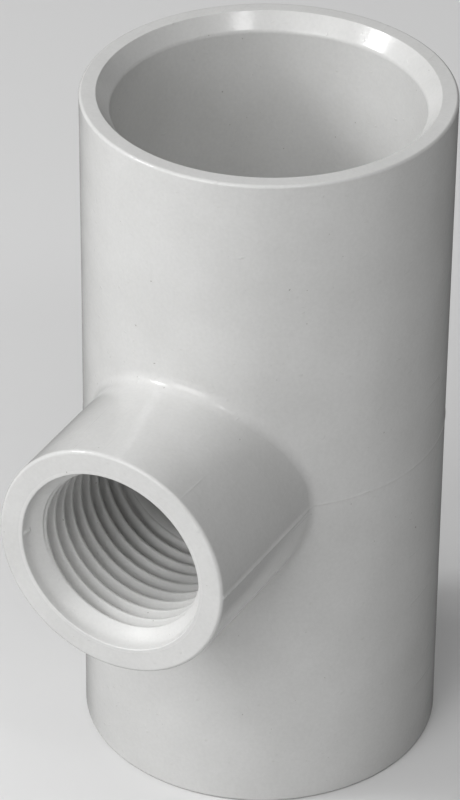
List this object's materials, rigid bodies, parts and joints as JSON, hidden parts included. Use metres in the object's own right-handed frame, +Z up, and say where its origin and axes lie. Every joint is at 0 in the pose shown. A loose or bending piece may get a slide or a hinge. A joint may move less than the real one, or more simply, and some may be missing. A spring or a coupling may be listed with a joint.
{
  "type": "pipe tee",
  "caption": "White PVC reducing pipe tee: a slip socket at each end of the run and a smaller branch at mid-length with an internal pipe thread.",
  "frame": {"origin": "centre of the lower end face, on the run's axis", "axes": "+Z up along the run, -Y out of the branch, +X to the right as the branch is looked into"},
  "size_m": [0.0402, 0.0545, 0.0794],
  "materials": {
    "white_pvc": "moulded, semi-gloss"
  },
  "bodies": {
    "root": {"upper_socket": "white_pvc", "lower_socket": "white_pvc", "run_centre": "white_pvc", "branch_outlet": "white_pvc", "branch_thread": "white_pvc"}
  },
  "joints": []
}
